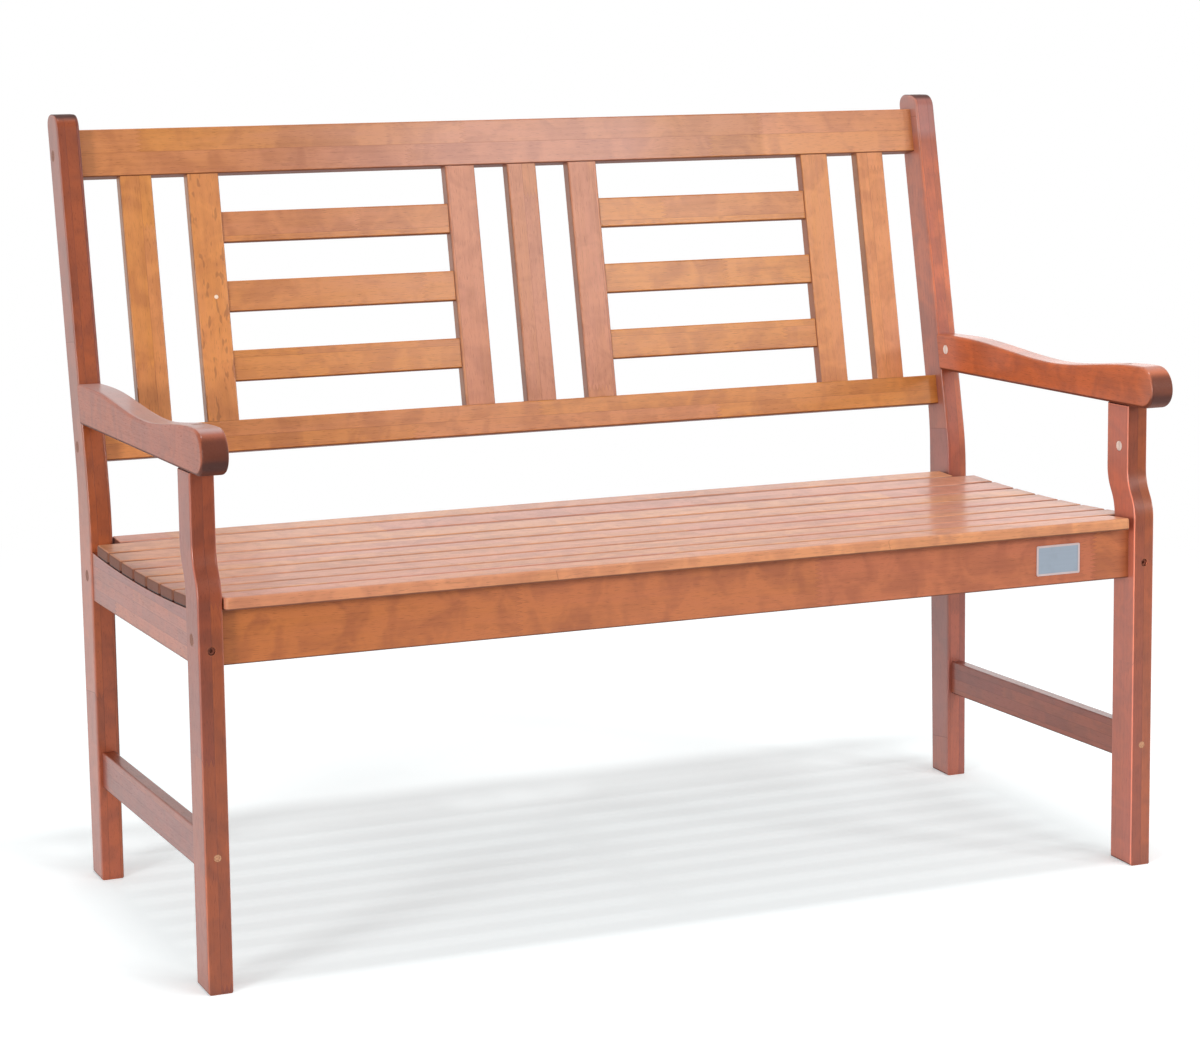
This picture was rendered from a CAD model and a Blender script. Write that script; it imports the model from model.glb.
# %% [markdown]
# # A slatted garden bench, dressed in Blender
#
# The bench is a frame of stained hardwood boards that are bolted and dowelled
# together. Its shapes are already right: they come in as a fixed model, one
# object for each board or kind of fitting. What is left for Blender is what the
# eye reads as wood: glued blocks of slightly different colour, grain that runs
# along each board, a satin finish, and soft light. The script first loads the
# model and notes how large it is, so that the dressed bench can be set against
# it at the end.

# %% Load the model
import bpy
import math
from mathutils import Matrix, Vector


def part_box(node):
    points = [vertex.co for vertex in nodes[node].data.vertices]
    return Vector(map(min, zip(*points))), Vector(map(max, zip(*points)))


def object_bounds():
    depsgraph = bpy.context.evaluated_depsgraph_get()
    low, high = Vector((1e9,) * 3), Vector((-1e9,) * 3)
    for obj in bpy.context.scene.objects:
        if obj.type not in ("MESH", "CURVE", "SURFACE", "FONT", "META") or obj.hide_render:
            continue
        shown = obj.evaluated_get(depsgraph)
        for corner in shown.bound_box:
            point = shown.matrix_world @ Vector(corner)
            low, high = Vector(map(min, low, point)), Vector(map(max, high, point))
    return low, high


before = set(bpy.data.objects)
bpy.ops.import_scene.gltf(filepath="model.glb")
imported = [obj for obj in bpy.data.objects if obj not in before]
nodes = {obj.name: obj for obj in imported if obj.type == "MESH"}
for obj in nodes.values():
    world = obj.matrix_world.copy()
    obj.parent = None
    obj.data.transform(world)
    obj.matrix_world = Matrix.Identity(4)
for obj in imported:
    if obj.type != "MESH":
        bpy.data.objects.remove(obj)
cad_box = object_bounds()
size = cad_box[1] - cad_box[0]
print(len(nodes), "boards and fittings, in metres:", [round(side, 4) for side in size])

# %% [markdown]
# ## Camera
#
# The bench is seen from its front left, from a little above its back. The
# camera could be aimed with a constraint, but a matrix says the same in three
# directions, and keeps the slight roll that a hand-held camera has. The small
# upward shift of the frame stands for a picture that was trimmed below.

# %% Camera
PICTURE_WIDTH = 1200
PICTURE_HEIGHT = 1063
FOCAL_LENGTH_IN_PIXELS = 3099.17
OPTICAL_CENTRE_ROW = 456.25
SENSOR_WIDTH = 36.0
CAMERA_PLACE = Vector((-1.5071, -3.38428, 1.1426))
CAMERA_YAW = math.radians(23.876)
CAMERA_PITCH = math.radians(9.813)
CAMERA_ROLL = math.radians(0.132)

aim = Vector((math.sin(CAMERA_YAW) * math.cos(CAMERA_PITCH),
              math.cos(CAMERA_YAW) * math.cos(CAMERA_PITCH),
              -math.sin(CAMERA_PITCH)))
level_right = Vector((math.cos(CAMERA_YAW), -math.sin(CAMERA_YAW), 0))
level_up = level_right.cross(aim)
right = math.cos(CAMERA_ROLL) * level_right + math.sin(CAMERA_ROLL) * level_up
up = math.cos(CAMERA_ROLL) * level_up - math.sin(CAMERA_ROLL) * level_right

scene = bpy.context.scene
camera = bpy.data.objects.new("camera", bpy.data.cameras.new("camera"))
scene.collection.objects.link(camera)
camera.data.sensor_width = SENSOR_WIDTH
camera.data.lens = FOCAL_LENGTH_IN_PIXELS / PICTURE_WIDTH * SENSOR_WIDTH
camera.data.shift_y = (OPTICAL_CENTRE_ROW - PICTURE_HEIGHT / 2) / PICTURE_WIDTH
turn = Matrix((right, up, -aim)).transposed().to_4x4()
camera.matrix_world = Matrix.Translation(CAMERA_PLACE) @ turn
scene.camera = camera
scene.view_settings.view_transform = "Standard"
print("lens", round(camera.data.lens, 2), "mm, shift", round(camera.data.shift_y, 4))

# %% [markdown]
# ## Building node trees
#
# Every finish below is a node tree. Trees can be drawn by hand in the shader
# editor; in a script a few short helpers keep them readable. `add` makes one
# node and takes, for each input, either a plain value or another node's output.

# %% Helpers for nodes
def add(tree, kind, inputs=None, **settings):
    """One node. An input takes a value or the output of another node."""
    made = tree.nodes.new(kind)
    for name, value in settings.items():
        setattr(made, name, value)
    for socket, value in (inputs or {}).items():
        if isinstance(value, bpy.types.NodeSocket):
            tree.links.new(value, made.inputs[socket])
        else:
            made.inputs[socket].default_value = value
    return made


def calc(tree, operation, *values):
    """One step of arithmetic."""
    return add(tree, "ShaderNodeMath", dict(enumerate(values)), operation=operation).outputs[0]


def centred(tree, noise):
    """A noise between 0 and 1, moved to lie evenly about 0."""
    return calc(tree, "SUBTRACT", noise, 0.5)


def clamped(tree, value):
    """A value kept between 0 and 1."""
    return add(tree, "ShaderNodeClamp", {0: value}).outputs[0]


def ramp(tree, value, low, high, to_low=0.0, to_high=1.0):
    """Carries a value from one range to another, smoothly, and clamps it."""
    made = add(tree, "ShaderNodeMapRange", {0: value, 1: low, 2: high, 3: to_low, 4: to_high},
               interpolation_type="SMOOTHSTEP")
    return made.outputs[0]


print("helpers for numbers ready")

# %% Helpers for vectors
def vector_calc(tree, operation, *values):
    """One step of arithmetic on vectors. A dot product and a length are numbers."""
    made = add(tree, "ShaderNodeVectorMath", dict(enumerate(values)), operation=operation)
    return made.outputs["Value" if operation in ("DOT_PRODUCT", "LENGTH") else "Vector"]


def scaled(tree, vector, factor):
    """A vector or colour times a number."""
    made = add(tree, "ShaderNodeVectorMath", {0: vector, "Scale": factor}, operation="SCALE")
    return made.outputs[0]


def split(tree, vector):
    """The three numbers of a vector, named X, Y and Z."""
    return add(tree, "ShaderNodeSeparateXYZ", {0: vector}).outputs


def joined(tree, *numbers):
    """A vector made of three numbers."""
    return add(tree, "ShaderNodeCombineXYZ", dict(enumerate(numbers))).outputs[0]


print("helpers for vectors ready")

# %% Helpers for colours, groups and materials
def srgb(red, green, blue):
    """A colour given in the 0 to 255 values of a paint chart, as Blender's linear values."""
    def linear(part):
        part = part / 255
        return part / 12.92 if part <= 0.04045 else ((part + 0.055) / 1.055) ** 2.4
    return (linear(red), linear(green), linear(blue), 1.0)


def blend_colour(tree, factor, first, second, mode="MIX"):
    """Mixes two colours by a factor."""
    made = add(tree, "ShaderNodeMix", data_type="RGBA", blend_type=mode)
    for name, value in (("Factor", factor), ("A", first), ("B", second)):
        kind = "VALUE" if name == "Factor" else "RGBA"
        socket = next(s for s in made.inputs if s.name == name and s.type == kind)
        if isinstance(value, bpy.types.NodeSocket):
            tree.links.new(value, socket)
        else:
            socket.default_value = value
    return next(s for s in made.outputs if s.type == "RGBA")


def new_group(name, inputs, outputs):
    """An empty shader group with named inputs and outputs."""
    group = bpy.data.node_groups.new(name, "ShaderNodeTree")
    for socket, (kind, value) in inputs.items():
        made = group.interface.new_socket(name=socket, in_out="INPUT", socket_type=kind)
        if value is not None:
            made.default_value = value
    for socket, kind in outputs.items():
        group.interface.new_socket(name=socket, in_out="OUTPUT", socket_type=kind)
    return group, group.nodes.new("NodeGroupInput").outputs, group.nodes.new("NodeGroupOutput")


def new_material(name):
    """A material with an empty node tree."""
    material = bpy.data.materials.new(name)
    material.use_nodes = True
    material.node_tree.nodes.clear()
    return material, material.node_tree


def show_surface(tree, inputs):
    """The Principled shader of a material, joined to its output."""
    surface = add(tree, "ShaderNodeBsdfPrincipled", inputs).outputs[0]
    add(tree, "ShaderNodeOutputMaterial", {"Surface": surface})


NUMBER, COLOUR, VECTOR = "NodeSocketFloat", "NodeSocketColor", "NodeSocketVector"
print("a mid grey of 128 is", round(srgb(128, 128, 128)[0], 3), "in linear light")

# %% [markdown]
# ## Floor, background and light
#
# The bench stands on plain white paper in a white room. More light would make
# the paper white too, but it would also bleach the wood. So the camera sees the
# room as white, and so do reflections, while the light that reaches the wood
# stays at a plain level. The paper is part emission for the camera, so that it
# reads as white and still shows a pale shadow.

# %% Room
ROOM_LIGHT = 0.5
ROOM_IN_FRONT = 0.22
FRONT_AND_BACK_OF_ROOM = (-0.3, 0.2)
WHITE = (1.0, 1.0, 1.0, 1.0)


def seen_directly(tree):
    """1 for camera, glossy and transmission rays, and 0 for light on a surface."""
    path = add(tree, "ShaderNodeLightPath").outputs
    seen = calc(tree, "MAXIMUM", path["Is Camera Ray"], path["Is Glossy Ray"])
    return calc(tree, "MAXIMUM", seen, path["Is Transmission Ray"])


def whiter_to_camera(tree, strength):
    """The strength for reflections, and 1 for camera rays."""
    path = add(tree, "ShaderNodeLightPath").outputs
    return calc(tree, "MAXIMUM", strength, path["Is Camera Ray"])


world = bpy.data.worlds.new("white_room")
scene.world = world
world.use_nodes = True
tree = world.node_tree
tree.nodes.clear()
direction = add(tree, "ShaderNodeTexCoord").outputs["Generated"]
dimmed = ramp(tree, split(tree, direction)["Y"], *FRONT_AND_BACK_OF_ROOM, ROOM_IN_FRONT)
lit = add(tree, "ShaderNodeBackground", {"Color": WHITE, "Strength": ROOM_LIGHT}).outputs[0]
shown = add(tree, "ShaderNodeBackground",
            {"Color": WHITE, "Strength": whiter_to_camera(tree, dimmed)}).outputs[0]
choice = add(tree, "ShaderNodeMixShader", {0: seen_directly(tree), 1: lit, 2: shown}).outputs[0]
add(tree, "ShaderNodeOutputWorld", {"Surface": choice})
print("room light", ROOM_LIGHT)

# %% Floor
FLOOR_HALF = 30.0
corners = [(-FLOOR_HALF, -FLOOR_HALF, 0), (FLOOR_HALF, -FLOOR_HALF, 0),
           (FLOOR_HALF, FLOOR_HALF, 0), (-FLOOR_HALF, FLOOR_HALF, 0)]
floor_mesh = bpy.data.meshes.new("floor")
floor_mesh.from_pydata(corners, [], [(0, 1, 2, 3)])
floor = bpy.data.objects.new("floor", floor_mesh)
scene.collection.objects.link(floor)
print("floor", 2 * FLOOR_HALF, "m square")

# %% Paper on the floor
PAPER_GLOW = 0.345
PAPER_WHITE = (0.845, 0.9, 0.91, 1.0)
PAPER_BOUNCE = (0.55, 0.55, 0.55, 1.0)
PAPER_CLEAR = (1.1, 2.2)
PAPER_FRONT = -1.6
PAPER_FADE = 1.4

paper, tree = new_material("white_paper")
place = add(tree, "ShaderNodeNewGeometry").outputs["Position"]
seen = seen_directly(tree)
on_paper = ramp(tree, split(tree, place)["Y"], PAPER_FRONT - PAPER_FADE, PAPER_FRONT, ROOM_IN_FRONT)
on_paper = whiter_to_camera(tree, on_paper)
away = vector_calc(tree, "LENGTH", place)
far = calc(tree, "MULTIPLY", ramp(tree, away, *PAPER_CLEAR), seen)
matt_share = calc(tree, "MULTIPLY", calc(tree, "SUBTRACT", 1.0, far), on_paper)
tone = scaled(tree, blend_colour(tree, seen, PAPER_BOUNCE, PAPER_WHITE), matt_share)
matt = add(tree, "ShaderNodeBsdfDiffuse", {"Color": tone}).outputs[0]
glowing = calc(tree, "MULTIPLY_ADD", far, 1.0 - PAPER_GLOW, PAPER_GLOW)
strength = calc(tree, "MULTIPLY", calc(tree, "MULTIPLY", seen, glowing), on_paper)
glow = add(tree, "ShaderNodeEmission", {"Color": WHITE, "Strength": strength}).outputs[0]
both = add(tree, "ShaderNodeAddShader", {0: matt, 1: glow}).outputs[0]
add(tree, "ShaderNodeOutputMaterial", {"Surface": both})
floor_mesh.materials.append(paper)
print("paper glows at", PAPER_GLOW, "and fades between", PAPER_CLEAR, "m")

# %% [markdown]
# ## Lamps
#
# A studio lights such a bench with large soft panels, and so does this scene,
# because sun or point lamps would cut hard shadows. High above hangs a lamp that
# is long along the bench: it lays the seat on the floor as soft stripes. A small
# lamp in front puts the sheen on the seat. A strong one at the front left lights
# the faces that look that way, and a weak one at the front right the others. A
# dim one at the back keeps the far side from going flat.

# %% Lamps
MIDDLE_OF_BENCH = (0, 0, 0.45)
UNDER_BENCH = (0, 0, 0)


def lamp(name, place, target, watts, width, height):
    """One soft panel, aimed from its place at a target."""
    light = bpy.data.lights.new(name, "AREA")
    light.energy = watts
    light.shape = "RECTANGLE"
    light.size = width
    light.size_y = height
    holder = bpy.data.objects.new(name, light)
    scene.collection.objects.link(holder)
    holder.location = place
    holder.rotation_euler = (Vector(target) - Vector(place)).to_track_quat("-Z", "Y").to_euler()
    holder.visible_camera = False


lamp("overhead", (0.0, -0.4, 12.0), UNDER_BENCH, 340, 1.7, 0.75)
lamp("front", (1.6, -3.1, 2.15), MIDDLE_OF_BENCH, 27, 1.1, 1.1)
lamp("front_left", (-6.0, -3.6, 1.4), MIDDLE_OF_BENCH, 225, 1.5, 2.0)
lamp("front_right", (3.4, -3.0, 1.6), MIDDLE_OF_BENCH, 34, 0.5, 0.7)
lamp("back", (2.2, 3.6, 1.3), MIDDLE_OF_BENCH, 12, 3.0, 1.4)

# %% [markdown]
# ## Glued blocks
#
# Garden furniture of this kind is made from short lengths of hardwood, finger
# jointed end to end and glued edge to edge, so that one board holds blocks of
# slightly different colour. This could be modelled block by block, but the
# surface is flat and only the colour and a hairline change, so a node group
# does it. It cuts the board into strips across its width and blocks along its
# length, gives each block a tone by a noise that is the same at each run, and
# returns the zigzag hairline of the joint as a mask.

# %% Group for glued blocks
FINGER_PITCH = 0.005
FINGER_LENGTH = 0.009
HAIRLINE = 0.0004
SEAM_FINENESS = 1.6
MIDDLE_OF_CELL = (0.5, 0.5, 0.5)

blocks_group, given, result = new_group(
    "glued_blocks",
    {"Position": (VECTOR, None), "Seed": (NUMBER, 0.0), "Block Length": (NUMBER, 0.4),
     "Strip Width": (NUMBER, 0.03), "First Joint": (NUMBER, 0.0), "Row Step": (NUMBER, 0.15),
     "First Seam": (NUMBER, 0.0)},
    {"Tone": NUMBER, "Joint": NUMBER, "Shift": VECTOR})
t = blocks_group
place = split(t, given["Position"])
across = calc(t, "DIVIDE", calc(t, "SUBTRACT", place["Y"], given["First Seam"]), given["Strip Width"])
row = calc(t, "FLOOR", across)
row_start = calc(t, "MULTIPLY_ADD", row, given["Row Step"], given["First Joint"])
finger = calc(t, "PINGPONG", place["Y"], FINGER_PITCH / 2)
zigzag = calc(t, "MULTIPLY_ADD", finger, 2 * FINGER_LENGTH / FINGER_PITCH, place["X"])
lengthways = calc(t, "DIVIDE", calc(t, "SUBTRACT", zigzag, row_start), given["Block Length"])
column = calc(t, "FLOOR", lengthways)
key = vector_calc(t, "ADD", joined(t, row, column, given["Seed"]), MIDDLE_OF_CELL)
chance = add(t, "ShaderNodeTexWhiteNoise", {0: key}, noise_dimensions="3D").outputs
to_joint = calc(t, "MULTIPLY", calc(t, "PINGPONG", lengthways, 0.5), given["Block Length"])
to_seam = calc(t, "MULTIPLY", calc(t, "PINGPONG", across, 0.5), given["Strip Width"])
nearest = calc(t, "MINIMUM", to_joint, calc(t, "MULTIPLY", to_seam, SEAM_FINENESS))
t.links.new(chance["Value"], result.inputs["Tone"])
t.links.new(ramp(t, nearest, 0.0, 2 * HAIRLINE, 1.0, 0.0), result.inputs["Joint"])
t.links.new(chance["Color"], result.inputs["Shift"])
print("group", blocks_group.name, "has", len(t.nodes), "nodes")

# %% [markdown]
# ## Grain
#
# The wood is a straight-grained red hardwood. Broad soft bands of colour run
# along the board, growth rings show as finer lines, and short dark pores and
# fine fibres sit on top. A cross-grain mottle, as in curly wood, breaks the
# stripes a little. A picture of wood would have to be unwrapped onto each board
# and would repeat. Noises that are stretched along the board fill space, so a
# board shows lines on its faces and dots on its ends, as a sawn piece does.

# %% Noises of the grain
NOISES = {
    "bands": dict(stretch=(4.5, 30.0, 30.0), detail=3.0, roughness=0.55, distortion=0.7),
    "fibres": dict(stretch=(14.0, 620.0, 620.0), detail=2.0, roughness=0.6),
    "pores": dict(stretch=(90.0, 1500.0, 1500.0), detail=1.0),
    "mottle": dict(stretch=(26.0, 22.0, 22.0), detail=2.0, distortion=0.9),
    "flecks": dict(stretch=(60.0, 170.0, 170.0), detail=1.0),
}
CUTS = {"bands": (0.36, 0.64), "rings": (0.1, 0.95), "pores": (0.6, 0.72), "mottle": (0.3, 0.7),
        "flecks": (0.6, 0.68)}
RING_SPACING = 0.0045
RING_STRETCH = (0.5, 1.0, 1.0)
HEART_OF_TREE = (0.0, 0.011, 0.062)
FACTOR_IN_WAVE_NODE = 20


def stretched_noise(tree, source, stretch, detail, roughness=0.5, distortion=0.0):
    """Noise drawn out along the board."""
    made = add(tree, "ShaderNodeTexNoise",
               {"Vector": vector_calc(tree, "MULTIPLY", source, stretch), "Scale": 1.0,
                "Detail": detail, "Roughness": roughness, "Distortion": distortion},
               noise_dimensions="3D")
    return made.outputs[0]


def growth_rings(tree, wood):
    """Rings about the heart of the tree, which lies outside the board."""
    from_heart = vector_calc(tree, "ADD", wood, HEART_OF_TREE)
    made = add(tree, "ShaderNodeTexWave",
               {"Vector": vector_calc(tree, "MULTIPLY", from_heart, RING_STRETCH),
                "Scale": 2 * math.pi / (FACTOR_IN_WAVE_NODE * RING_SPACING), "Distortion": 6.0,
                "Detail": 2.0, "Detail Scale": 0.05, "Detail Roughness": 0.6},
               wave_type="RINGS", rings_direction="X")
    return made.outputs[1]


print("noises:", ", ".join(NOISES), "and rings of", 1000 * RING_SPACING, "mm")

# %% Group for grain
BLOCK_STEP = (3.0, 0.2, 0.2)
SEED_STEP = (1.7, 0.031, 0.053)
BANDS_IN_TONE = 0.9
MOTTLE_MIDDLE = 0.4
PORE_DARKNESS = 0.35
PORE_COLOUR = (0.03, 0.01, 0.005, 1)
PORE_COLOUR_SHARE = 0.5
DARKENING = {"bands": 0.6, "rings": 0.2, "fibres": 0.6}
DULLING = {"bands": 0.1, "fibres": 0.16, "pores": 0.2}
RAISING = {"fibres": 0.5, "specks": -1.0, "rings": 0.06}


def weighed(tree, values, weights):
    """The sum of some values, each times its weight."""
    total = 0.0
    for name, weight in weights.items():
        total = calc(tree, "MULTIPLY_ADD", values[name], weight, total)
    return total


grain_group, given, result = new_group(
    "timber_grain",
    {"Position": (VECTOR, None), "Shift": (VECTOR, None), "Seed": (NUMBER, 0.0),
     "Tone": (NUMBER, 0.5), "Rosy": (COLOUR, WHITE), "Golden": (COLOUR, WHITE),
     "Dark": (COLOUR, WHITE), "Figure": (NUMBER, 0.4), "Mottle": (NUMBER, 0.2),
     "Flecks": (NUMBER, 0.0)},
    {"Colour": COLOUR, "Roughness": NUMBER, "Height": NUMBER})
t = grain_group
own_place = vector_calc(t, "ADD", given["Position"], vector_calc(t, "MULTIPLY", given["Shift"], BLOCK_STEP))
wood = vector_calc(t, "ADD", own_place, vector_calc(t, "MULTIPLY", given["Seed"], SEED_STEP))
noise = {name: stretched_noise(t, wood, **shape) for name, shape in NOISES.items()}
noise["rings"] = growth_rings(t, wood)
mask = {name: ramp(t, noise[name], *cut) for name, cut in CUTS.items()}

own_tone = calc(t, "MULTIPLY_ADD", centred(t, noise["bands"]), BANDS_IN_TONE, given["Tone"])
base = blend_colour(t, clamped(t, own_tone), given["Rosy"], given["Golden"])
lines = weighed(t, {**mask, "fibres": centred(t, noise["fibres"])}, DARKENING)
cross = calc(t, "MULTIPLY", calc(t, "SUBTRACT", mask["mottle"], MOTTLE_MIDDLE), given["Mottle"])
dark_amount = clamped(t, calc(t, "MULTIPLY_ADD", lines, given["Figure"], cross))
shaded = blend_colour(t, dark_amount, base, given["Dark"])
flecks = calc(t, "MULTIPLY", mask["flecks"], given["Flecks"])
specks = calc(t, "MAXIMUM", calc(t, "MULTIPLY", mask["pores"], PORE_DARKNESS), flecks)
speck_colour = blend_colour(t, PORE_COLOUR_SHARE, given["Dark"], PORE_COLOUR)
speckled = blend_colour(t, specks, shaded, speck_colour)
t.links.new(speckled, result.inputs["Colour"])
t.links.new(weighed(t, {**noise, "pores": mask["pores"]}, DULLING), result.inputs["Roughness"])
t.links.new(weighed(t, {**noise, "specks": specks}, RAISING), result.inputs["Height"])
print("group", grain_group.name, "has", len(t.nodes), "nodes")

# %% [markdown]
# ## Worn edges
#
# Stain is rubbed thin where a board's edges are rounded over, and thicker in
# the corners where boards meet. Both could be painted by hand, board by board,
# but Blender can find them. The Bevel node gives the normal that a rounder edge
# would have; where it differs from the true one, there is an edge. The Ambient
# Occlusion node finds the corners.

# %% Group for edges
EDGE_TURN = (0.995, 0.86)
CORNER_SKY = (0.75, 0.3)
FEELERS = 4

edges_group, given, result = new_group(
    "rubbed_edges", {"Radius": (NUMBER, 0.003), "Reach": (NUMBER, 0.02)},
    {"Edge": NUMBER, "Corner": NUMBER})
t = edges_group
rounder = add(t, "ShaderNodeBevel", {"Radius": given["Radius"]}, samples=FEELERS).outputs[0]
true_normal = add(t, "ShaderNodeNewGeometry").outputs["Normal"]
turned = vector_calc(t, "DOT_PRODUCT", rounder, true_normal)
t.links.new(ramp(t, turned, *EDGE_TURN), result.inputs["Edge"])
open_sky = add(t, "ShaderNodeAmbientOcclusion", {"Distance": given["Reach"]}, samples=FEELERS)
t.links.new(ramp(t, open_sky.outputs["AO"], *CORNER_SKY), result.inputs["Corner"])
print("group", edges_group.name, "has", len(t.nodes), "nodes")

# %% [markdown]
# ## Sawn ends, sides and tops
#
# End grain drinks the stain and turns dark and dull, the faces that look along
# the bench are another cut of the board and take the stain differently, stain
# has gathered along the lower edges, and the tops of the armrests have bleached
# in the sun. A shadow gathers where the lower edge of a slat turns under. Each
# face could have a material of its own, but the change would be abrupt at the
# rounded edges. So all five are masks, found from the direction that the surface
# looks in, and they stay put when the bench is seen from elsewhere.

# %% Group for the faces of a board
SPAN_TO_FULL = 0.3
SIDE_FACES = (0.4, 0.8)
TOP_FACES = (0.8, 0.97)
RIM_FACES = (-0.03, -0.18)

faces_group, given, result = new_group(
    "board_faces", {"Along": (VECTOR, None), "End Start": (NUMBER, 0.5), "Under Start": (NUMBER, 0.0)},
    {"End": NUMBER, "Side": NUMBER, "Top": NUMBER, "Under": NUMBER, "Rim": NUMBER})
t = faces_group
facing = add(t, "ShaderNodeNewGeometry").outputs["Normal"]
ways = split(t, facing)
lengthways = calc(t, "ABSOLUTE", vector_calc(t, "DOT_PRODUCT", facing, given["Along"]))
end_full = calc(t, "ADD", given["End Start"], SPAN_TO_FULL)
under_full = calc(t, "SUBTRACT", given["Under Start"], SPAN_TO_FULL)
t.links.new(ramp(t, lengthways, given["End Start"], end_full), result.inputs["End"])
t.links.new(ramp(t, calc(t, "ABSOLUTE", ways["X"]), *SIDE_FACES), result.inputs["Side"])
t.links.new(ramp(t, ways["Z"], *TOP_FACES), result.inputs["Top"])
t.links.new(ramp(t, ways["Z"], given["Under Start"], under_full), result.inputs["Under"])
t.links.new(ramp(t, ways["Z"], *RIM_FACES), result.inputs["Rim"])
print("group", faces_group.name, "has", len(t.nodes), "nodes")

# %% [markdown]
# ## The stains
#
# The posts, legs and ends are stained a deeper red than the seat and back. Each
# stain is two tones, a rosy one and a golden one, that the blocks of a board lie
# between, and the dark of its grain. One colour for each board would be simpler,
# but it is the spread between two tones that tells glued wood from plastic.

# %% Stains
STAINS = {
    "frame": {"Rosy": srgb(144, 58, 34), "Golden": srgb(182, 86, 30), "Dark": srgb(88, 30, 16)},
    "rail": {"Rosy": srgb(190, 102, 62), "Golden": srgb(200, 114, 46), "Dark": srgb(126, 54, 26)},
    "seat": {"Rosy": srgb(198, 124, 94), "Golden": srgb(208, 138, 86), "Dark": srgb(142, 76, 54)},
    "back": {"Rosy": srgb(200, 124, 82), "Golden": srgb(212, 136, 58), "Dark": srgb(144, 68, 32)},
}
BLEACHED = srgb(214, 190, 188)
RUBBED = srgb(222, 168, 120)
SHADOW = srgb(40, 14, 10)


def lighter(colour, factor):
    """A colour times a factor, which may be below 1."""
    return tuple(factor * value for value in colour[:3]) + (1.0,)


def shaded_stain(stain, shade):
    """A stain made lighter or darker as a whole."""
    return {part: lighter(colour, shade) for part, colour in STAINS[stain].items()}


print("stains:", ", ".join(STAINS))

# %% [markdown]
# ## How a board lies
#
# Grain has to run along each board, and the boards lie four ways and lean by
# three angles. The boards could be unwrapped, but here it is simpler to turn
# their coordinates back by the lean and then swap the axes, so that along is
# always first and across second.
#
# A board also changes slowly along its length. A run lists places along the
# board, and at each one a tone between the two stains, a shade and a haze. The
# haze is the pale film that stain gets where weather and light have dulled it.

# %% Place on a board
LEAN_OF_FRAME = math.radians(2.0)
LEAN_OF_BACK = math.radians(13.3)
LEAN_OF_POST = math.radians(8.0)
AXES = {"rail": "XZY", "slat": "XYZ", "upright": "ZXY", "end": "YZX"}
UNIT = {"X": (1, 0, 0), "Y": (0, 1, 0), "Z": (0, 0, 1)}


def place_on_board(tree, lie, lean):
    """A place on the board: its numbers once upright, and as along, across and through."""
    where = add(tree, "ShaderNodeTexCoord").outputs["Object"]
    turned = add(tree, "ShaderNodeMapping", {"Vector": where, "Rotation": (lean, 0, 0)}).outputs[0]
    upright = split(tree, turned)
    return upright, joined(tree, *(upright[axis] for axis in AXES[lie]))


def change_along(tree, place, run):
    """Changes along a board: a list of a place in metres, a tone, a shade and a haze."""
    first, last = run[0][0], run[-1][0]
    share = add(tree, "ShaderNodeMapRange", {0: place, 1: first, 2: last}).outputs[0]
    bar = add(tree, "ShaderNodeValToRGB", {0: share})
    stops = bar.color_ramp.elements
    for number, (x, tone, shade, haze) in enumerate(run):
        at = (x - first) / (last - first)
        stop = stops[0] if number == 0 else stops.new(at) if number < len(run) - 1 else stops[-1]
        stop.position = at
        stop.color = (tone, shade / 2, haze, 1.0)
    mixed = add(tree, "ShaderNodeSeparateColor", {0: bar.outputs[0]}).outputs
    return centred(tree, mixed["Red"]), calc(tree, "MULTIPLY", mixed["Green"], 2.0), mixed["Blue"]


print("boards lie as", ", ".join(AXES))

# %% [markdown]
# ## Timber
#
# Every board gets its own material, so that no two boards repeat, but all are
# made by one function. It starts from the details of a plain board, and takes
# only those that differ. Over the grain it lays thin layers, as on the real
# board: haze, bleached tops, rubbed edges, dark undersides and ends, stain in
# the corners and the glue lines. Last comes the lacquer, a thin clear coat that
# bare end grain soaks up.

# %% A plain board
PLAIN_BOARD = dict(
    tone=0.5, spread=0.5,  # between the two stains, and how far its blocks stray
    shade=1.0, side=1.0,  # how light the board is, and its faces that look along the bench
    haze=0.0, bleach=0.0,  # the pale film on those faces, and on its top
    end_start=0.5, sawn=0.9,  # how far a face has turned to be end grain, and how dark that is
    under_start=-0.02, under=None,  # the same for its underside, and a colour for it
    edge=0.2, settled=0.45, rim=0.0,  # rubbed edges, stain in corners, shadow below the edge
    run=None,  # what changes along it
    figure=0.3, mottle=0.36, flecks=0.0,  # how strong its lines, its curl and its flecks are
    length=0.42, strip=0.03,  # size of its blocks
    joint=0.0, step=0.17, seam=0.0,  # where the joints of its first row, of the next and its seams are
    rough=0.36, coat=0.5)  # its finish
print("a plain board has", len(PLAIN_BOARD), "details")

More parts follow.
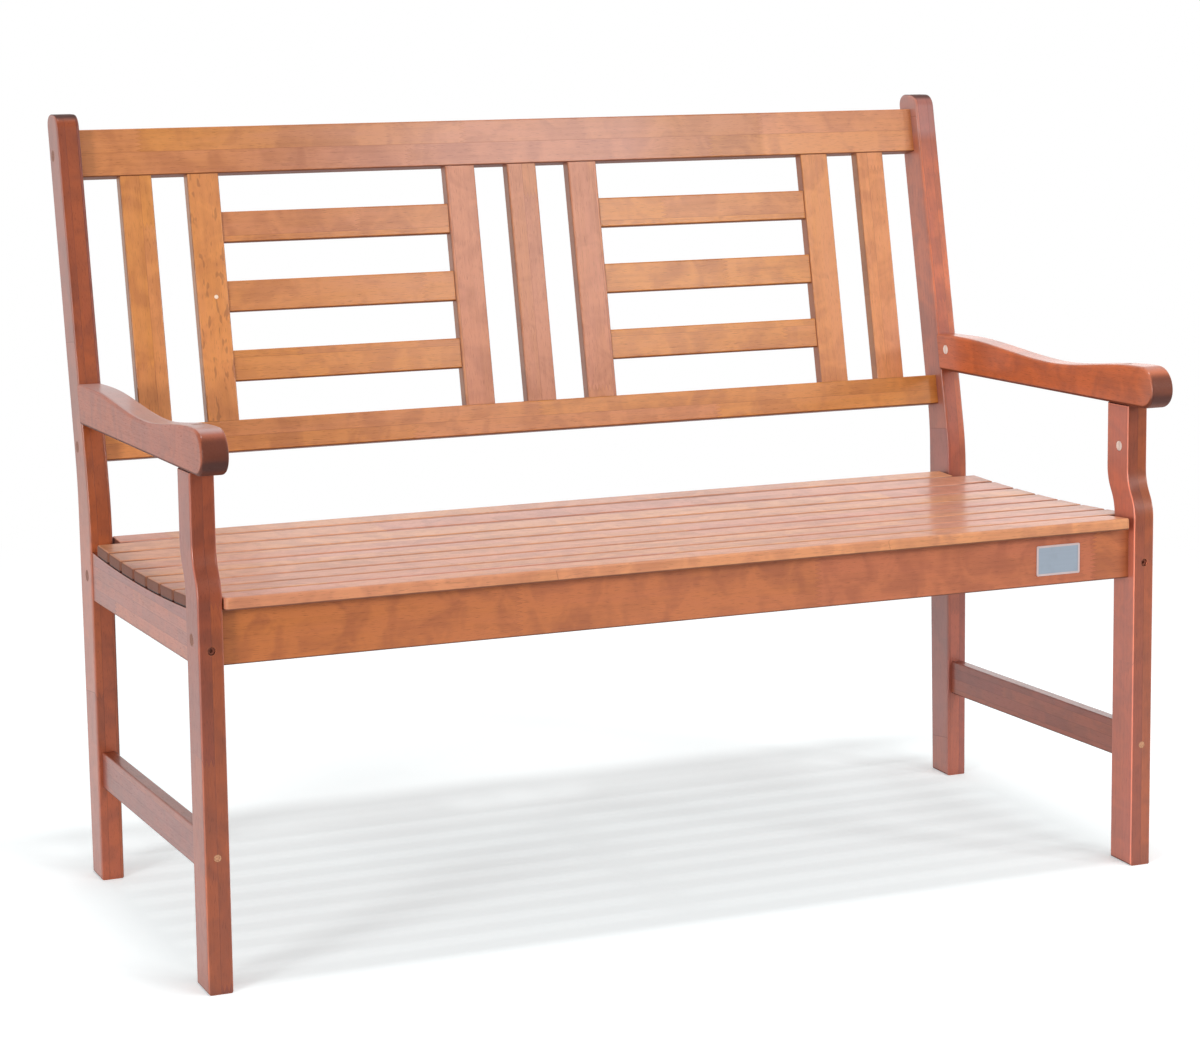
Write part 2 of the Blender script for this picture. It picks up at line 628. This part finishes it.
# %% Wood of a board
def lay_wood(tree, lie, lean, seed, look, colours):
    """The blocks and the grain of a board, and what its run says of light and haze."""
    upright, board = place_on_board(tree, lie, lean)
    glued = add(tree, "ShaderNodeGroup",
                {"Position": board, "Seed": seed, "Block Length": look["length"],
                 "Strip Width": look["strip"], "First Joint": look["joint"],
                 "Row Step": look["step"], "First Seam": look["seam"]},
                node_tree=blocks_group).outputs
    tone = calc(tree, "MULTIPLY_ADD", centred(tree, glued["Tone"]), 2 * look["spread"], look["tone"])
    light, veil = 1.0, 0.0
    if look["run"]:
        change, light, veil = change_along(tree, upright[AXES[lie][0]], look["run"])
        tone = calc(tree, "ADD", tone, change)
    grain = add(tree, "ShaderNodeGroup",
                {"Position": board, "Shift": glued["Shift"], "Seed": seed, "Tone": tone,
                 "Figure": look["figure"], "Mottle": look["mottle"], "Flecks": look["flecks"],
                 **colours}, node_tree=grain_group).outputs
    return upright, glued, grain, light, veil


print("wood ready")

# %% Layers of stain
END_SHADE = 0.4
UNDER_DARKNESS = 0.75
GAP_END = (0.535, 0.575)
RUBBED_SHARE = 0.3
SEAM_DARKNESS = 0.5


def lay_stain(tree, look, colours, upright, glued, edges, faces, veil, colour):
    """The thin layers over the grain, each with its mask, its strength and its colour."""
    rubbed = blend_colour(tree, RUBBED_SHARE, colours["Golden"], RUBBED)
    darkest = lighter(colours["Dark"], END_SHADE)
    below = darkest
    if look["under"]:
        far = ramp(tree, calc(tree, "ABSOLUTE", upright["X"]), *GAP_END)
        below = blend_colour(tree, far, look["under"], darkest)
    for mask, strength, layer in (
            (veil, 1.0, BLEACHED), (faces["Top"], look["bleach"], BLEACHED),
            (edges["Edge"], look["edge"], rubbed), (faces["Under"], UNDER_DARKNESS, below),
            (faces["End"], look["sawn"], darkest), (faces["Rim"], look["rim"], SHADOW),
            (edges["Corner"], look["settled"], colours["Dark"]),
            (glued["Joint"], SEAM_DARKNESS, colours["Dark"])):
        colour = blend_colour(tree, calc(tree, "MULTIPLY", mask, strength), colour, layer)
    return colour


print("rubbed stain is", RUBBED_SHARE, "paler, undersides", UNDER_DARKNESS, "darker")

# %% Timber
LACQUER_ROUGHNESS = 0.2
LACQUER_IOR = 1.5
COAT_SOAKED_UP = 0.8
BARE_ROUGHER = 0.2
GRAIN_DEPTH = 0.0002
GRAIN_STRENGTH = 0.5


def timber(name, stain, lie, lean, seed, **details):
    """A material for one board: its grain lies as the board does."""
    unknown = set(details) - set(PLAIN_BOARD)
    assert not unknown, f"{name}: no board has {unknown}"
    look = {**PLAIN_BOARD, **details}
    colours = shaded_stain(stain, look["shade"])
    material, tree = new_material(f"timber_{name}")
    upright, glued, grain, light, veil = lay_wood(tree, lie, lean, seed, look, colours)
    edges = add(tree, "ShaderNodeGroup", node_tree=edges_group).outputs
    faces = add(tree, "ShaderNodeGroup",
                {"Along": UNIT[AXES[lie][0]], "End Start": look["end_start"],
                 "Under Start": look["under_start"]}, node_tree=faces_group).outputs
    side_light = calc(tree, "MULTIPLY_ADD", faces["Side"], look["side"] - 1.0, 1.0)
    colour = scaled(tree, grain["Colour"], calc(tree, "MULTIPLY", side_light, light))
    veil = calc(tree, "MULTIPLY_ADD", faces["Side"], look["haze"], veil)
    colour = lay_stain(tree, look, colours, upright, glued, edges, faces, veil, colour)
    height = calc(tree, "SUBTRACT", grain["Height"], glued["Joint"])
    bump = add(tree, "ShaderNodeBump",
               {"Height": height, "Distance": GRAIN_DEPTH, "Strength": GRAIN_STRENGTH})
    bare = calc(tree, "MAXIMUM", faces["End"], faces["Under"])
    coat = calc(tree, "MULTIPLY_ADD", bare, -COAT_SOAKED_UP * look["coat"], look["coat"])
    rough = calc(tree, "MULTIPLY_ADD", bare, BARE_ROUGHER, look["rough"])
    show_surface(tree, {"Base Color": colour, "Normal": bump.outputs[0],
                        "Roughness": calc(tree, "ADD", grain["Roughness"], rough),
                        "Coat Weight": coat, "Coat Roughness": LACQUER_ROUGHNESS,
                        "Coat IOR": LACQUER_IOR})
    return material


dressed = []


def dress(name, material):
    """Gives a board or fitting its material in place of the plain one."""
    mesh = nodes[name].data
    mesh.materials.clear()
    mesh.materials.append(material)
    dressed.append(name)


def dress_board(name, *recipe, **details):
    """Makes a board's own timber and puts it on."""
    dress(name, timber(name, *recipe, **details))


print("timber ready")

# %% [markdown]
# ## Boards of the two ends
#
# Posts, legs, armrests, side rails and stretchers make up the two ends of the
# bench. They are a pair each, but the left end faces the strong lamp with its
# outer side and the right end with its inner one, and real pairs are never cut
# from one plank. One material for both would be shorter, but it would match
# neither. So a pair shares its way of lying, and each board has its own shade,
# haze and run. All but the armrests are glued from narrow strips.

# %% Pairs of boards
END_STRIP = 0.014


def dress_pair(board, lie, lean, seed, left, right, **both):
    """The same board at the left end and at the right end."""
    for number, (side, details) in enumerate((("left", left), ("right", right))):
        dress_board(f"{side}_{board}", "frame", lie, lean, seed=seed + number,
                    **{"strip": END_STRIP, **both, **details})


POST_RUNS = {"left": ((0.0, 0.6, 1.24, 0.07), (0.4, 0.7, 1.08, 0.04), (0.47, 0.9, 0.83, 0.0),
                      (0.6, 0.9, 0.78, 0.0), (0.68, 0.5, 0.88, 0.0), (0.9, 0.5, 0.86, 0.0)),
             "right": ((0.0, 0.4, 0.95, 0.12), (0.4, 0.3, 0.85, 0.08), (0.46, 0.3, 0.82, 0.03),
                       (0.62, 0.3, 0.85, 0.02), (0.7, 0.9, 0.96, 0.05), (0.8, 0.9, 0.92, 0.05),
                       (0.88, 0.8, 0.82, 0.05), (0.893, 0.2, 0.9, 0.2))}
dress_pair("rear_post", "upright", LEAN_OF_POST, seed=11, end_start=0.6,
           left=dict(side=0.97, haze=0.2, coat=0.3, seam=-0.59, run=POST_RUNS["left"]),
           right=dict(shade=1.5, side=0.85, haze=0.12, seam=0.59, run=POST_RUNS["right"]))
print(len(dressed), "boards dressed")

# %% Front legs
LEG_RUNS = {"left": ((0.0, 0.5, 0.92, 0.02), (0.4, 0.5, 0.9, 0.0), (0.6, 0.5, 0.95, 0.0)),
            "right": ((0.0, 0.75, 0.88, 0.05), (0.36, 0.8, 0.86, 0.04), (0.46, 0.85, 0.71, 0.0),
                      (0.6, 0.85, 0.71, 0.0))}
dress_pair("front_leg", "upright", LEAN_OF_FRAME, seed=21,
           left=dict(shade=0.93, side=1.9, haze=0.12, seam=-0.586, run=LEG_RUNS["left"]),
           right=dict(shade=1.1, side=4.0, haze=0.29, seam=0.586, run=LEG_RUNS["right"]))
print(len(dressed), "boards dressed")

# %% Armrests, side rails and stretchers
ARM_RUN = ((-0.34, 0.9, 0.86, 0.12), (-0.3, 1.0, 0.96, 0.02), (0.3, 1.0, 0.96, 0.0))
dress_pair("armrest", "end", LEAN_OF_FRAME, seed=31,
           end_start=0.55, strip=0.2, seam=0.5, length=3.0, joint=-1.5,
           left=dict(tone=0.8, coat=0.4, haze=0.02, bleach=0.5, sawn=0.7),
           right=dict(shade=1.35, bleach=0.1, sawn=0.75, run=ARM_RUN))
dress_pair("side_rail", "end", LEAN_OF_FRAME, seed=41, tone=0.4,
           left=dict(shade=1.04, haze=0.1), right=dict())
dress_pair("stretcher", "end", LEAN_OF_FRAME, seed=51, tone=0.3, haze=0.08, left=dict(), right=dict())
print(len(dressed), "boards dressed")

# %% [markdown]
# ## Rails and seat
#
# Apron and rear rail are one broad strip each, with finger joints that show, so
# their blocks are as wide as the board. The slats have the palest stain, and a
# thinner lacquer, because the seat is where the finish wears. Between the slats
# light comes through onto their sides, which keeps the gaps warm, and only
# towards the ends do they turn dark. That could be left to the light, but the
# real gaps glow more than so narrow a slot does in Blender, so their colour is
# part of the material.

# %% Rails under the seat
APRON_RUN = ((-0.57, 1.0, 0.92, 0.0), (-0.1, 0.6, 1.0, 0.04), (0.57, 0.3, 1.0, 0.02))
for number, name in enumerate(("front_apron", "rear_seat_rail")):
    dress_board(name, "rail", "rail", LEAN_OF_FRAME, seed=61 + number, strip=0.08, length=0.375,
                joint=-0.223, seam=0.342, mottle=0.45, shade=1.05, spread=0.3, run=APRON_RUN)
dress_board("centre_bearer", "rail", "end", LEAN_OF_FRAME, seed=65, strip=0.05)
print(len(dressed), "boards dressed")

# %% Seat slats
SEAT = dict(strip=0.06, coat=0.28, settled=0.2)
FRONT_SLAT_RUN = ((-0.57, 0.2, 1.0, 0.04), (0.57, 1.0, 1.04, 0.05))
SLAT_RUN = ((-0.6, 0.5, 1.0, 0.06), (-0.1, 0.5, 0.98, 0.04), (0.2, 0.5, 0.98, 0.04),
            (0.45, 0.5, 1.06, 0.08), (0.6, 0.5, 1.05, 0.08))
GAP_COLOUR = srgb(196, 158, 146)
dress_board("front_seat_slat", "seat", "slat", LEAN_OF_FRAME, seed=71, shade=1.2, sawn=0.0,
            run=FRONT_SLAT_RUN, **SEAT)
slats = [f"seat_slat_{number}" for number in range(2, 9)] + ["rear_seat_slat"]
for number, name in enumerate(slats):
    dress_board(name, "seat", "slat", LEAN_OF_FRAME, seed=72 + number, shade=1.13, under_start=0.8,
                under=GAP_COLOUR, sawn=0.66, rim=1.0, run=SLAT_RUN, **SEAT)
print(len(dressed), "boards dressed")

# %% [markdown]
# ## The back
#
# The rails of the back are glued from two strips, and the seam runs along their
# middle, so it is measured from each board's box. The uprights on each side and
# the panel slats are golden, the three in the middle rosy, and one stile has
# dark flecks. Tones picked at random would fall on the wrong boards, so tone and
# shade are listed board by board, from left to right.

# %% Rails of the back
CREST_RUN = ((-0.56, 0.8, 0.98, 0.0), (-0.4, 0.7, 0.96, 0.0), (-0.3, 0.35, 0.86, 0.0),
             (-0.16, 0.3, 0.9, 0.05), (-0.1, 0.1, 0.96, 0.12), (0.15, 0.2, 0.96, 0.15),
             (0.22, 0.55, 0.86, 0.02), (0.342, 0.55, 0.86, 0.0), (0.35, 0.7, 1.03, 0.06),
             (0.56, 0.7, 1.03, 0.06))


def middle_row(name):
    """How high the middle of a leaning board lies, measured along the lean."""
    low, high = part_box(name)
    middle = (low + high) / 2
    return middle.y * math.sin(LEAN_OF_BACK) + middle.z * math.cos(LEAN_OF_BACK)


back_rails = {"lower_back_rail": dict(shade=1.03, tone=0.7),
              "crest_rail": dict(shade=1.05, tone=0.45, run=CREST_RUN, joint=0.348, step=0.075)}
for number, (name, details) in enumerate(back_rails.items()):
    dress_board(name, "back", "rail", LEAN_OF_BACK, seed=81 + number, strip=0.029, spread=0.3, edge=0.0,
                seam=middle_row(name), **details)
print(len(dressed), "boards dressed")

# %% Uprights and panel slats
uprights = [dict(tone=0.85, shade=1.06), dict(tone=0.8, shade=1.13, flecks=0.4), dict(tone=0.2),
            dict(tone=0.1, shade=0.95), dict(tone=0.2), dict(tone=0.85, shade=1.08),
            dict(tone=0.6, shade=1.15)]
for number, details in enumerate(uprights, 1):
    dress_board(f"back_upright_{number}", "back", "upright", LEAN_OF_BACK, seed=90 + number, strip=0.05,
                spread=0.25, edge=0.0, side=0.55, **details)
panel_slats = {"left": (0.95, 0.7, 0.6), "right": (0.85, 0.9, 0.7)}
for column, (side, tones) in enumerate(panel_slats.items()):
    for number, tone in enumerate(tones, 1):
        dress_board(f"{side}_panel_slat_{number}", "back", "rail", LEAN_OF_BACK,
                    seed=100 + number + 5 * column, strip=0.05, tone=tone, spread=0.3, edge=0.0)
print(len(dressed), "boards dressed")

# %% [markdown]
# ## Plugs, dowels and pin
#
# Small round fittings catch the eye: pale dowel ends, darker wood plugs over the
# bolts, and one pale pin. They are turned from wood too, and what shows is their
# cut end. The grain of the boards could be used again, but it would be far too
# coarse for them, so they have a plain noise of fine dots.

# %% Small wooden fittings
DOTS = dict(Scale=900.0, Detail=2.0)
CLOUDS = dict(Scale=60.0, Detail=1.0)
DOT_CUT = (0.45, 0.7)
CLOUD_DARKNESS = 0.4
CUT_END_DEPTH = 0.0002
CUT_END_ROUGHNESS = (0.45, 0.2)


def turned_wood(name, pale, dark):
    """Wood whose cut end shows as fine dots."""
    material, tree = new_material(name)
    where = add(tree, "ShaderNodeTexCoord").outputs["Object"]
    dots = add(tree, "ShaderNodeTexNoise", {"Vector": where, **DOTS}).outputs[0]
    cloud = add(tree, "ShaderNodeTexNoise", {"Vector": where, **CLOUDS}).outputs[0]
    colour = blend_colour(tree, ramp(tree, dots, *DOT_CUT), pale, dark)
    colour = blend_colour(tree, calc(tree, "MULTIPLY", cloud, CLOUD_DARKNESS), colour, dark)
    bump = add(tree, "ShaderNodeBump", {"Height": dots, "Distance": CUT_END_DEPTH}).outputs[0]
    least, rise = CUT_END_ROUGHNESS
    show_surface(tree, {"Base Color": colour, "Normal": bump,
                        "Roughness": calc(tree, "MULTIPLY_ADD", dots, rise, least)})
    return material


dress("bolt_plugs", turned_wood("plug_end_grain", srgb(150, 92, 66), srgb(96, 50, 34)))
pale_dowel = turned_wood("dowel_end_grain", srgb(214, 160, 122), srgb(160, 104, 72))
for name in ("end_frame_dowels", "frame_dowels", "slat_dowels", "stretcher_dowels"):
    dress(name, pale_dowel)
dress("stile_pin", turned_wood("pin_end_grain", srgb(252, 234, 216), srgb(226, 190, 160)))
print(len(dressed), "boards and fittings dressed")

# %% [markdown]
# ## Metal fittings
#
# Deep in their holes sit browned bolt heads, the barrel nuts show bright zinc,
# and a brushed plate sits on the apron. All three are metal with fine scratches,
# so one function makes them and only tint, roughness and brushing differ. The
# plate has a paler rim. That could be a face of its own, but it is flush, so the
# material draws it from the distance to the plate's edge.

# %% Rim of the plate
PLATE_FRAME = 0.0025
FRAME_EDGE = (0.9 * PLATE_FRAME, 1.1 * PLATE_FRAME)


def framed(tree, name, where, field, border):
    """The field's colour inside a frame of another colour, drawn as wide on all four sides."""
    low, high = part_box(name)
    middle, half = (low + high) / 2, (high - low) / 2
    parts = split(tree, where)
    margins = []
    for axis, index in (("X", 0), ("Z", 2)):
        off = calc(tree, "ABSOLUTE", calc(tree, "SUBTRACT", parts[axis], middle[index]))
        margins.append(calc(tree, "SUBTRACT", half[index], off))
    inside = ramp(tree, calc(tree, "MINIMUM", *margins), *FRAME_EDGE)
    return blend_colour(tree, inside, border, field)


print("the plate's rim is", 1000 * PLATE_FRAME, "mm wide")

# %% Metal fittings
SCUFFS = dict(Scale=90.0, Detail=3.0)
SCUFF_CUT = (0.45, 0.75)
DULLED = (0.6, 0.6, 0.6, 1.0)
LINE_DARKNESS = 0.25
LINE_ROUGHNESS = 0.2
LINE_DEPTH = 0.00005
LINE_STRENGTH = 0.5
EVENLY = (300.0, 300.0, 300.0)
LENGTHWAYS = (8.0, 1200.0, 1200.0)


def metal(name, tint, rough, brushed, scuff, shine, frame_tint=None):
    """Metal with fine brushing and faint scuffs, and if asked a frame of another tint."""
    material, tree = new_material(name)
    where = add(tree, "ShaderNodeTexCoord").outputs["Object"]
    lines = stretched_noise(tree, where, brushed, detail=2.0, roughness=0.6)
    cloud = add(tree, "ShaderNodeTexNoise", {"Vector": where, **SCUFFS}).outputs[0]
    if frame_tint:
        tint = framed(tree, "label_plate", where, tint, frame_tint)
    darker = blend_colour(tree, 1.0, tint, DULLED, mode="MULTIPLY")
    scuffed = calc(tree, "MULTIPLY", ramp(tree, cloud, *SCUFF_CUT), scuff)
    colour = blend_colour(tree, scuffed, tint, darker)
    colour = blend_colour(tree, calc(tree, "MULTIPLY", lines, LINE_DARKNESS), colour, darker)
    bump = add(tree, "ShaderNodeBump",
               {"Height": lines, "Distance": LINE_DEPTH, "Strength": LINE_STRENGTH}).outputs[0]
    show_surface(tree, {"Base Color": colour, "Metallic": shine, "Normal": bump,
                        "Roughness": calc(tree, "MULTIPLY_ADD", lines, LINE_ROUGHNESS, rough)})
    return material


browned = metal("browned_steel", srgb(140, 74, 52), 0.45, EVENLY, scuff=0.4, shine=0.2)
for name in ("cross_bolts", "end_frame_bolts", "arm_front_bolts", "arm_rear_bolts"):
    dress(name, browned)
dress("barrel_nuts", metal("zinc_plate", srgb(252, 236, 226), 0.3, EVENLY, scuff=0.2, shine=0.4))
dress("label_plate", metal("brushed_aluminium", srgb(168, 180, 194), 0.32, LENGTHWAYS, scuff=0.15,
                           shine=0.35, frame_tint=srgb(221, 200, 198)))
print("left plain:", sorted(set(nodes) - set(dressed)) or "none")
